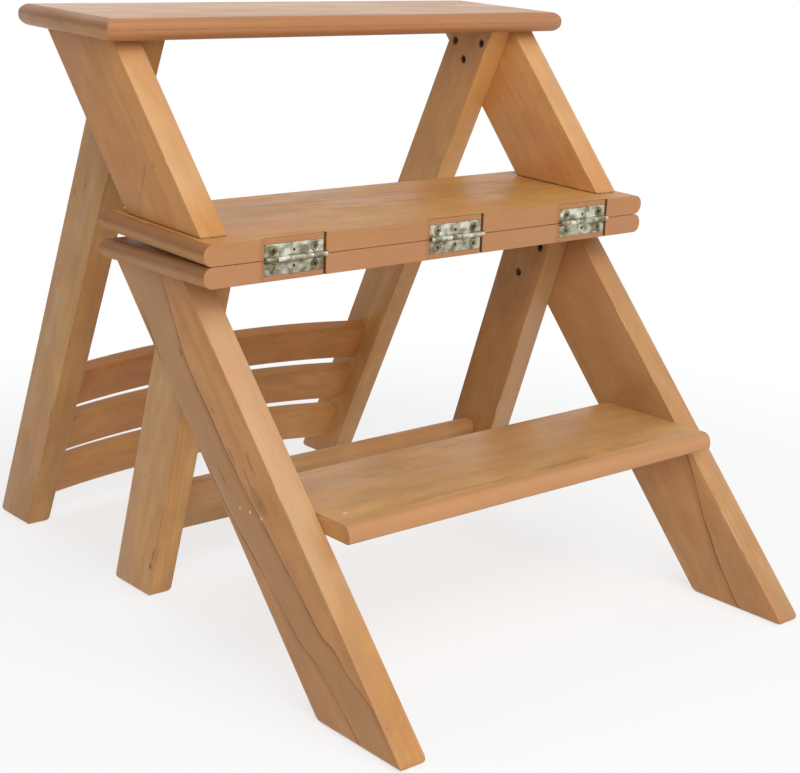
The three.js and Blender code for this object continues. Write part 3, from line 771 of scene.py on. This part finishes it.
def addTopTread(seed):
    look, place = boardLook, frames["rear_frame"]
    half = frameHalfWidth + look["treadOverhang"]
    front = edgeSetback + look["treadFront"]
    low = (-half, front, look["treadUnder"])
    high = (half, front + look["treadDepth"], look["treadUnder"] + look["treadThickness"])
    piece = nosedBoard("topTread", low, high)
    settle(piece, place)
    smooth(piece)
    extra = {"rim": (half, look["treadDepth"] / 2, look["nose"], True), "halfDeep": look["treadThickness"] / 2,
             "gloss": 0.44, "varnish": 0.24, "dye": (0.93, 0.87, 0.76), "longTint": 0.9}
    middle = (Vector(low) + Vector(high)) / 2
    finishWood(piece, place, middle, (xAxis, yAxis), "honey", seed, extra, "rear_frame", "tread_wood", "top_tread")


# lower tread, with a rounded nose, between the front legs

lowTreadLook = {
    "thickness": 17.5, "depth": 152, "front": -161.5, "height": 185.5,
    "noseTop": 10, "noseUnder": 3, "ease": 1.2,
    "marks": (  # along, across, length, width, strength
        (-137, 25.6, 15, 5, 0.30), (-104, 29, 11, 3.5, 0.26), (136, -42, 13, 4, 0.30),
        (-225, -43.5, 3.4, 2.2, -0.9), (-211, 28, 2, 1.5, 0.6), (49, -15, 9, 2, 0.22), (40, -56, 60, 6, 0.30),
        (-128, -55, 45, 5, 0.24), (140, -52, 60, 7, 0.26), (-60, -57, 40, 4, 0.24),
    ),
}


def addLowerTread(seed):
    look, place = lowTreadLook, frames["front_frame"]
    top = look["height"] - hingeHeight
    front = edgeSetback + look["front"]
    half = innerLegOuter - 0.15
    low, high = (-half, front, top - look["thickness"]), (half, front + look["depth"], top)
    piece = addBlock("lowerTread", low, high)
    frontEdge = lambda edge, z: edgeAt(edge, 1, front) and edgeAt(edge, 2, z)
    bevelEdges(piece, lambda edge: frontEdge(edge, high[2]), look["noseTop"], 8)
    bevelEdges(piece, lambda edge: frontEdge(edge, low[2]), look["noseUnder"], 4)
    bevelEdges(piece, lambda edge: edgeAt(edge, 1, high[1]) and runsAlong(edge, xAxis), look["ease"], 3)
    settle(piece, place)
    smooth(piece)
    extra = {"noseFrom": (12 - look["depth"] / 2, 5), "noseDye": (0.94, 1.0, 1.10), "marks": look["marks"],
             "halfDeep": look["thickness"] / 2, "dye": (1.13, 1.16, 1.07)}
    middle = (Vector(low) + Vector(high)) / 2
    finishWood(piece, place, middle, (xAxis, yAxis), "honey", seed, extra, "front_frame", "tread_wood", "lower_tread")


# leaning legs and sides

legLook = {
    "frontWidth": 90, "frontFoot": -278.5, "frontTop": 59.5,
    "shortWidth": 65, "shortFoot": 191, "shortTop": 60.5,
    "sideWidth": 94, "sideFoot": 27, "sideTop": 180.5,
    "rearWidth": 60, "rearSplay": 24.5, "rearTop": 181.5,  # splay in degrees from upright
    "ease": 1.1, "footRound": 5,
    "soleRound": 7, "soleSteps": (0.08, 0.25, 0.5, 0.8), "soleShare": 0.8,
}


def leaning(kind, topZ, footZ=None):
    # run is how far a plank moves back for each millimetre down; a foot at footZ is square to its frame,
    # and without footZ the foot is cut level with the floor
    top, width, tilt = legLook[kind + "Top"], legLook[kind + "Width"], 0
    if kind == "rear":
        run, tilt = math.tan(math.radians(legLook["rearSplay"])), restTilt
    else:
        drop = topZ + hingeHeight if footZ is None else topZ - footZ
        run = (legLook[kind + "Foot"] - top) / drop
    return {"topY": edgeSetback + top, "topZ": topZ, "run": run, "width": width,
            "across": width * math.hypot(1, run), "footZ": footZ, "tilt": tilt}


def leaningPlank(name, centre, leg):
    topY, topZ, run, across, footZ = (leg[key] for key in ("topY", "topZ", "run", "across", "footZ"))
    corners = []
    for y in (topY, topY + across):
        start = y + run * topZ
        z = footZ
        if footZ is None:
            lean = math.sin(leg["tilt"])
            z = (-hingeHeight - start * lean) / (math.cos(leg["tilt"]) - run * lean)
        corners.append((start - run * z, z))
    (frontY, frontZ), (backY, backZ) = corners
    thick = legThickness / 2
    low, high = (centre - thick, topY, frontZ), (centre + thick, topY + across, topZ)
    piece = addBlock(name, low, high)
    backFoot = lambda vert: abs(vert.co.z - frontZ * mm) < 1e-6 and vert.co.y > (topY + across / 2) * mm
    moveVerts(piece, backFoot, (0, backY - topY - across, backZ - frontZ))
    frontFoot = lambda vert: abs(vert.co.y - topY * mm) < 1e-6 and vert.co.z < topZ * mm - 0.01
    moveVerts(piece, frontFoot, (0, frontY - topY, 0))
    if footZ is None:
        sole = Vector((backY - frontY, backZ - frontZ)).normalized()
        shank = Vector((topY - frontY, topZ - frontZ)).normalized()
        acute = math.acos(sole.dot(shank)) / 2
        for y, half in ((frontY, acute), (backY, math.pi / 2 - acute)):
            isLow = lambda edge: all(vert.co.z < (topZ - 50) * mm for vert in edge.verts)
            corner = lambda edge: runsAlong(edge, xAxis) and edgeAt(edge, 1, y) and isLow(edge)
            bevelEdges(piece, corner, legLook["footRound"] / math.tan(half), 6)
    outline = lambda edge: edgeAt(edge, 0, low[0]) or edgeAt(edge, 0, high[0])
    bevelEdges(piece, outline, legLook["ease"], 3)
    if footZ is None:
        roundSole(piece, Vector((0, frontY, frontZ)) * mm, Vector((0, -sole.y, sole.x)), centre)
    return piece


def roundSole(piece, onSole, upward, centre):
    # narrow the foot towards the sole, so its long edges are rounded over
    reach = legLook["soleRound"]
    for share in legLook["soleSteps"]:
        pick(piece, "FACE", lambda face: True)
        bpy.ops.mesh.bisect(plane_co=onSole + upward * reach * share * mm, plane_no=upward)
        leave()
    height = lambda vert: (vert.co - onSole).dot(upward) / mm
    heights = sorted({round(height(vert), 2) for vert in piece.data.vertices if height(vert) < reach - 0.01})
    for level in heights:
        inset = reach - math.sqrt(max(0, reach * reach - (reach - level) ** 2))
        for side in sides.values():
            test = lambda vert: abs(height(vert) - level) < 0.006 and (vert.co.x - centre * mm) * side > 0
            moveVerts(piece, test, (-side * inset * legLook["soleShare"], 0, 0))


screwLook = {
    "head": 4.4, "rim": 0.4, "cone": 2.8, "shank": 2.2, "length": 46, "tip": 6, "sunk": 2,
    "short": ((0.18, 23.5), (0.8, 18), (0.5, 57)),  # share of the leg's width, and how far below its top
    "rear": ((0.16, 16), (0.83, 17), (0.46, 36.5)),
}


def screwPlaces(rows, leg):
    top, run, across = leg["topY"], leg["run"], leg["across"]
    return [(top + run * drop + share * across, leg["topZ"] - drop) for share, drop in rows]


def screwSpot(side, y, z):
    return moved(side * (innerLegInner + screwLook["sunk"]), y, z)


def addLegScrews(pattern, name, places, side, sideName, body, node):
    for number, (y, z) in enumerate(places, 1):
        piece = copyOf(pattern, f"{name}{sideName}{number}")
        facing = quarterTurn("Y", -side) @ Matrix.Rotation(number * 1.1, 4, "Z")
        settle(piece, frames[body] @ screwSpot(side, y, z) @ facing)
        finish(piece, darkSteel, body, "dark_screw_steel", f"{node}_{sideName.lower()}_{number}")


def legHoles(places, side):
    holes = []
    for y, z in places:
        hole = turnedPiece("hole", [(4.9, -screwLook["sunk"] - 5), (4.7, 0.2), (2.4, 2.9), (2.4, 40)])
        settle(hole, screwSpot(side, y, z) @ quarterTurn("Y", side))
        holes.append(hole)
    return holes


# rails: three bowed back slats and a straight stretcher

railLook = {
    "slat": {"height": 50, "thickness": 20, "inset": 22, "top": 181, "round": 4, "foot": 4, "bow": 18},
    "slatPitch": 70.5,
    "stretcher": {"height": 56, "thickness": 22, "inset": 27, "top": 119, "round": 10, "foot": 2, "bow": 0},
    "tenon": 10,
    "bowCuts": 35,
}


def addRail(name, look, height, leg, body, node, tone, seed, dye=(1, 1, 1)):
    # the rail's top edge lies inside the leg's edge, at a height above the floor
    lean, z = math.atan(leg["run"]), height - hingeHeight
    edge = leg["topY"] + leg["run"] * (leg["topZ"] - (z - look["inset"] * math.sin(lean)))
    at = moved(0, edge + look["inset"] * math.cos(lean), z)
    half = innerLegInner + railLook["tenon"]
    low, high = (-half, 0, -look["height"]), (half, look["thickness"], 0)
    piece = addBlock(name, low, high)
    for z, offset, segments in ((0, look["round"], 8), (-look["height"], look["foot"], 4)):
        bevelEdges(piece, lambda edge: runsAlong(edge, xAxis) and edgeAt(edge, 2, z), offset, segments)
    if look["bow"]:
        pick(piece, "EDGE", lambda edge: runsAlong(edge, xAxis))
        bpy.ops.mesh.subdivide(number_cuts=railLook["bowCuts"])
        leave()
        stations = sorted({round(vert.co.x, 6) for vert in piece.data.vertices})
        for station in stations:
            share = station / (innerLegInner * mm)
            atStation = lambda vert: abs(vert.co.x - station) < 1e-5
            moveVerts(piece, atStation, (0, look["bow"] * (1 - share * share), 0))
    place = frames[body] @ at @ Matrix.Rotation(lean, 4, "X")
    settle(piece, place)
    smooth(piece)
    extra = {"dye": dye, "halfDeep": look["thickness"] / 2}
    middle = (0, look["thickness"] / 2, -look["height"] / 2)
    finishWood(piece, place, middle, (xAxis, zAxis), tone, seed, extra, body, "rail_wood", node)
    return piece


marksFrom = 200  # marks and lines on a leg are measured from a point this far below its top


def addLegPair(name, leg, body, node, seeds, screws=(), rails=()):
    # the screwed legs stand inside the others
    tone, slot, layer = ("tan", "inner_leg_wood", 1.5) if screws else ("honey", "leg_wood", 0.5)
    place = frames[body]
    along = Vector((0, -leg["run"], 1)).normalized()
    for (sideName, side), seed, detail in zip(sides.items(), seeds, legDetails[name]):
        xCentre = side * (frameHalfWidth - layer * legThickness)
        piece = leaningPlank(name + sideName, xCentre, leg)
        carve(piece, legHoles(screws, side))
        settle(piece, place)
        carve(piece, [copyOf(rail, "mortise") for rail in rails])
        smooth(piece)
        middle = Vector((xCentre, leg["topY"] + leg["across"] / 2, leg["topZ"])) - along * marksFrom
        extra = {"halfAcross": leg["width"] / 2, "halfDeep": legThickness / 2,
                 "framePlace": (place.to_translation(), place.to_euler()), **detail}
        axes = (along, along.cross(xAxis))
        finishWood(piece, place, middle, axes, tone, seed, extra, body, slot, f"{node}_{sideName.lower()}")


# hinges: rolled leaves with countersunk screws, and pins with round heads

def cylinderAlongX(name, radius, low, high, segments=32):
    piece = turnedPiece(name, [(radius, 0), (radius, high - low)], segments)
    settle(piece, moved(low, 0, 0) @ quarterTurn("Y"))
    return piece


def leafPiece(name, up, ownFirst):
    look = hingeLook
    half = look["length"] / 2
    ends = sorted((up * seam, up * look["reach"]))
    piece = addBlock(name, (-half, edgeSetback, ends[0]), (half, edgeSetback + look["leaf"], ends[1]))
    corner = lambda edge: runsAlong(edge, yAxis) and edgeAt(edge, 2, up * look["reach"])
    bevelEdges(piece, corner, look["cornerRound"], 4)
    step = look["length"] / look["knuckles"]
    gap, inward = look["gap"], quarterTurn("X", -1)
    added, taken = [], []
    for index in range(look["knuckles"]):
        low = -half + index * step + gap / 2
        high = low + step - gap
        if index % 2 == ownFirst:
            added.append(cylinderAlongX("knuckle", look["barrel"], low, high))
        else:
            taken.append(cylinderAlongX("notch", look["barrel"] + gap, low - gap, high + gap))
    carve(piece, added, "UNION")
    taken.append(cylinderAlongX("bore", look["pin"] + 0.15, -half - 5, half + 5))
    rim, ring, bore = look["head"], look["ring"], look["shank"] + 0.3
    for across in (-look["spread"], look["spread"]):
        hole = turnedPiece("hole", [(rim + ring, -5), (rim + ring * 0.6, 0.4), (bore, 2.6), (bore, 9)])
        settle(hole, moved(across, edgeSetback, up * look["holeHeight"]) @ inward)
        taken.append(hole)
    spare = turnedPiece("spare", [(look["spareRadius"], -5), (look["spareRadius"], 9)])
    settle(spare, moved(0, 0, up * look["spareHeight"]) @ inward)
    taken.append(spare)
    carve(piece, taken)
    smooth(piece, 30)
    return piece


def screwPiece(name, look, dome):
    # head at z = 0, shank towards -Z
    tip = look.get("tip", 4)
    length = look.get("length", look.get("screwLength"))
    rim, cone = look.get("rim", 0.4), look.get("cone", 2.4)
    shank, head = look["shank"], look["head"]
    profile = [(0.15, -length), (shank, tip - length), (shank, -cone), (head, -rim), (head, -0.12)]
    crown = ((0.96, 0.25), (0.8, 0.62), (0.5, 0.9), (0.1, 1.0))
    profile += [(head * share, dome * rise) for share, rise in crown]
    piece = turnedPiece(name, profile, 24)
    wide, narrow = head * 0.58, head * 0.15
    carve(piece, [addBlock("slot", (-x, -y, -1.7), (x, y, 2)) for x, y in ((wide, narrow), (narrow, wide))])
    smooth(piece, 30)
    return piece


steelLook = {
    "hinge": {"bright": (0.76, 0.74, 0.63, 1), "dull": (0.23, 0.215, 0.130, 1),
              "rough": (0.17, 0.42), "metal": 0.94},
    # a darker copy of the hinge steel for the lower leaves: painted shade, as the upper leaves catch more light
    "lowerLeafShaded": {"bright": (0.54, 0.52, 0.41, 1), "dull": (0.17, 0.155, 0.090, 1),
                  "rough": (0.20, 0.46), "metal": 0.92},
    "screw": {"bright": (0.33, 0.29, 0.165, 1), "dull": (0.13, 0.110, 0.055, 1),
              "rough": (0.28, 0.50), "metal": 0.92},
    "dark": {"bright": (0.070, 0.055, 0.045, 1), "dull": (0.022, 0.018, 0.016, 1),
             "rough": (0.40, 0.65), "metal": 0.6},
}


def steelMaterial(name, kind, seed):
    look = steelLook[kind]
    material, tree = newMaterial(name)
    place = addNode(tree, "ShaderNodeTexCoord").outputs["Object"]
    stain = ramp(noiseAt(place, (95, 95, 120), seed, 4.0), 0.34, 0.66)
    speck = ramp(noiseAt(place, (640, 640, 640), seed + 5, 2.0), 0.58, 0.72)
    color = mixColors(stain, look["bright"], look["dull"])
    color = mixColors(times(speck, 0.5), color, look["dull"])
    scuff = noiseAt(place, (30, 420, 420), seed + 9, 2.0)
    low, high = look["rough"]
    values = {0: times(plus(stain, scuff), 0.6), 1: 0.1, 2: 0.9, 3: low, 4: high}
    rough = addNode(tree, "ShaderNodeMapRange", values).outputs[0]
    bump = addNode(tree, "ShaderNodeBump", {"Strength": 0.25, "Distance": 0.0002, "Height": plus(speck, scuff)})
    shader = addNode(tree, "ShaderNodeBsdfPrincipled", {
        "Base Color": color, "Roughness": rough, "Metallic": look["metal"], "Normal": bump.outputs[0],
    })
    addNode(tree, "ShaderNodeOutputMaterial", {"Surface": shader.outputs[0]})
    return material


def addHinges():
    look = hingeLook
    steel = steelMaterial("hingeSteel", "hinge", 3.3)
    lowerShadedSteel = steelMaterial("lowerLeafShadedSteel", "lowerLeafShaded", 9.1)
    screwSteel = steelMaterial("screwSteel", "screw", 5.1)
    leaves = {"upper": (leafPiece("leafPattern", 1, 1), "rear_frame", 1, steel),
              "lower": (leafPiece("leafPattern", -1, 0), "front_frame", -1, lowerShadedSteel)}
    screw = screwPiece("screwPattern", look, 0.5)
    body = look["length"] + 0.3
    end = body + look["pinHead"]
    head = look["pinHeadRadius"]
    pinProfile = [(look["pin"], 0), (look["pin"], body), (head, body + 0.02), (head, end - 1.2),
                  (head * 0.8, end - 0.4), (0.3, end)]
    for place, centre in hingeCentres.items():
        for leaf, (pattern, bodyName, up, leafSteel) in leaves.items():
            piece = copyOf(pattern, f"hinge{place.title()}{leaf.title()}Leaf")
            settle(piece, frames[bodyName] @ moved(centre, 0, 0))
            finish(piece, leafSteel, bodyName, "hinge_steel", f"hinge_{place}_{leaf}_leaf")
            for number, across in enumerate((-look["spread"], look["spread"]), 1):
                at = moved(centre + across, edgeSetback, up * look["holeHeight"])
                piece = copyOf(screw, f"hinge{place.title()}{leaf.title()}Screw{number}")
                slotTurn = Matrix.Rotation(0.35 + number * 0.9 + centre, 4, "Z")
                settle(piece, frames[bodyName] @ at @ quarterTurn("X") @ slotTurn)
                finish(piece, screwSteel, bodyName, "hinge_screw_steel", f"hinge_{place}_{leaf}_screw_{number}")
        pin = turnedPiece(f"hinge{place.title()}Pin", pinProfile, 24)
        settle(pin, hingeLine @ moved(centre - look["length"] / 2, 0, 0) @ quarterTurn("Y"))
        smooth(pin, 30)
        finish(pin, steel, "front_frame", "hinge_steel", f"hinge_{place}_pin")
    for pattern in (leaves["upper"][0], leaves["lower"][0], screw):
        bpy.data.objects.remove(pattern, do_unlink=True)


# make everything

addCamera(cameraLook)
addStudio(studioLook)
report("camera and studio")

boardDetails = {
    "upper": {
        "dye": (1.12, 1.08, 0.84), "gloss": 0.26, "varnish": 0.03, "lineStrength": 0.62,
        "frontMarks": (*aboutHinges((-38, 5.6, 5, 1.0, 0.7), (36, 8.4, 4, 2.6, 0.75), (-4, 6.2, 30, 1.2, 0.35)),
                       (-67, 5, 22, 1.3, 0.6), (-96, 3.4, 12, 1.0, 0.4)),
        "lines": (
            ((-245, 40), (-187, 37.6), (-149, 36.6), (-64, 31.7), (42, 28.2), (125, 26.7), (245, 25)),
            ((-60, 9), (-20, 2), (81, -7.5), (218, -17.3), (245, -19)),
            ((-245, 47), (-60, 42), (125, 39), (245, 40)),
        ),
    },
    "lower": {"dye": (0.95, 0.92, 0.90), "frontMarks": aboutHinges((36, -8.6, 4, 2.2, 0.75))},
}
addSeatBoard("upperSeatBoard", 1, "rear_frame", "upper_seat_board", 4.1, boardDetails["upper"])
addSeatBoard("lowerSeatBoard", -1, "front_frame", "lower_seat_board", 8.7, boardDetails["lower"])
addTopTread(12.9)
addLowerTread(17.3)
report("boards and treads")

boardUnder = -seam - boardThickness
sideFootZ = seam + boardThickness + 0.3
sideTopZ = boardLook["treadUnder"] - 0.3
frontLeg = leaning("front", boardUnder)
shortLeg = leaning("short", boardUnder)
upperSide = leaning("side", sideTopZ, sideFootZ)
rearLeg = leaning("rear", sideTopZ)

# painted light: the lower back slats are made lighter, as more light reached them from below the seats
slatDyesAndLight = {"top": (1.12, 1.01, 0.78), "middle": (1.27, 1.32, 1.22), "bottom": (1.42, 1.58, 1.58)}
slatStep = railLook["slatPitch"] * math.cos(math.radians(legLook["rearSplay"]))
slats = []
for number, (slatName, dye) in enumerate(slatDyesAndLight.items()):
    height = railLook["slat"]["top"] - number * slatStep
    slats.append(addRail(f"backSlat{slatName.title()}", railLook["slat"], height, rearLeg, "rear_frame",
                         f"back_slat_{slatName}", "amber", 21.5 + number, dye))
stretcherRail = addRail("stretcherRail", railLook["stretcher"], railLook["stretcher"]["top"], shortLeg,
                        "front_frame", "stretcher_rail", "tan", 26.2)
report("rails")

underSeat = ((boardUnder, 1.0),)  # height and reach of the dirt in a seam
sideFoot, sideTop = (sideFootZ, 1.3), (sideTopZ, 1.0)
legDetails = {  # left and right
    "frontLeg": (
        {"lines": (
            ((-340, -47), (-299, -45.6), (-276, -40.5), (-245, -30), (-219, -25), (-198, -15.5), (-153, -12),
             (-128, -8.6), (-85, -3.6), (-31, 2.2), (38, 4), (105, 2.5), (150, -8), (185, -16)),
            ((-340, -6), (-294, -2.5), (-252, 2.6), (-216, 10), (-190, 19), (-154, 23.6), (-115, 29),
             (-70, 37), (-27, 41), (30, 43.8), (120, 43.6), (185, 34))),
         "marks": (
             (-59, -11, 16, 9, 0.40), (-69, -13, 10, 8, 0.34), (-10, -1, 12, 2.4, 0.55),
             (-28, -24, 16, 3, 0.45), (-36, -10, 14, 2.4, 0.45), (-15, 26.8, 15, 3, 0.45),
             (109, 6, 6, 2.8, 0.75), (40, -3, 4, 1.6, 0.6), (-63, 8, 2.2, 1.6, -0.95),
             (-76, -4, 2.6, 1.6, -0.95), (-52.5, 20.5, 1.8, 1.3, -0.9)),
         "seams": underSeat, "dye": (1.03, 0.94, 0.80), "frontPaintedLightAndWear": (0.34, -260, -90)},
        {"lines": (((-340, -2), (-259, -7), (-203, -18), (-136, -38), (-60, -50)),), "seams": underSeat},
    ),
    "shortLeg": (
        {"marks": ((-130, -29, 13, 1.6, 0.8), (-146, -28, 6, 3.2, 0.85), (-53, 10, 4, 1.4, 0.4)),
         "seams": underSeat, "dye": (1.26, 1.22, 1.10)},
        {"seams": underSeat, "dye": (0.88, 0.78, 0.68), "frontPaintedLightAndWear": (0.25, -400, -300)},
    ),
    "upperSide": (
        {"lines": (((5, 24), (15, 20), (22, 8), (30, -6), (37, -12.5)),),
         "marks": ((28, -25.7, 5, 3.2, 0.35), (37, -13, 4, 2.5, 0.35)),
         "seams": (sideFoot, sideTop), "dye": (1.13, 0.98, 0.70), "frontPaintedLightAndWear": (0.28, -60, 0)},
        # the right upper side's dye also paints light onto its shaded inner face
        {"seams": (sideFoot, sideTop), "dye": (1.27, 1.22, 1.08), "frontPaintedLightAndWear": (0.16, -60, 0)},
    ),
    "rearLeg": (
        # on the rear legs the front colour is painted shade low on the left leg and painted light high on the right
        # leg
        {"marks": ((22.6, 5, 6, 2.6, 0.55), (4.6, 20.5, 6, 2.6, 0.5), (-265, -27, 24, 1.4, 0.75)),
         "seams": (sideTop,), "dye": (1.12, 1.07, 0.90),
         "frontPaintedLightAndWear": (0.35, -400, -300), "frontPaintedLight": (0.26, 0.115, 0.035, 1)},
        {"seams": (sideTop,), "dye": (1.16, 1.12, 1.0),
         "frontPaintedLightAndWear": (0.72, -140, 10), "frontPaintedLight": (0.74, 0.395, 0.130, 1)},
    ),
}
shortScrews = screwPlaces(screwLook["short"], shortLeg)
rearScrews = screwPlaces(screwLook["rear"], rearLeg)
addLegPair("frontLeg", frontLeg, "front_frame", "front_leg", (31.4, 33.9))
addLegPair("shortLeg", shortLeg, "front_frame", "short_leg", (36.1, 38.6), shortScrews, [stretcherRail])
addLegPair("upperSide", upperSide, "rear_frame", "upper_side", (41.2, 43.7))
addLegPair("rearLeg", rearLeg, "rear_frame", "rear_leg", (46.3, 48.8), rearScrews, slats)
report("legs and sides")

addHinges()
darkSteel = steelMaterial("darkSteel", "dark", 7.7)
screwPattern = screwPiece("darkScrewPattern", screwLook, 0.3)
for sideName, side in sides.items():
    addLegScrews(screwPattern, "shortLegScrew", shortScrews, side, sideName, "front_frame", "short_leg_screw")
    addLegScrews(screwPattern, "rearLegScrew", rearScrews, side, sideName, "rear_frame", "rear_leg_screw")
bpy.data.objects.remove(screwPattern, do_unlink=True)
report("hinges and screws")

dowelWood = woodMaterial("dowelWood", (0, 0, 0), (0, 0, 0), "tan", 51.0)
for nodeName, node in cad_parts.items():
    if "dowel" in nodeName:
        for materialSlot in node.material_slots:
            materialSlot.material = dowelWood

settings = bpy.context.scene.view_settings
settings.view_transform = "Standard"

{"cad": [list(corner) for corner in cadBox], "visual": [list(corner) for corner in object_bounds()]}
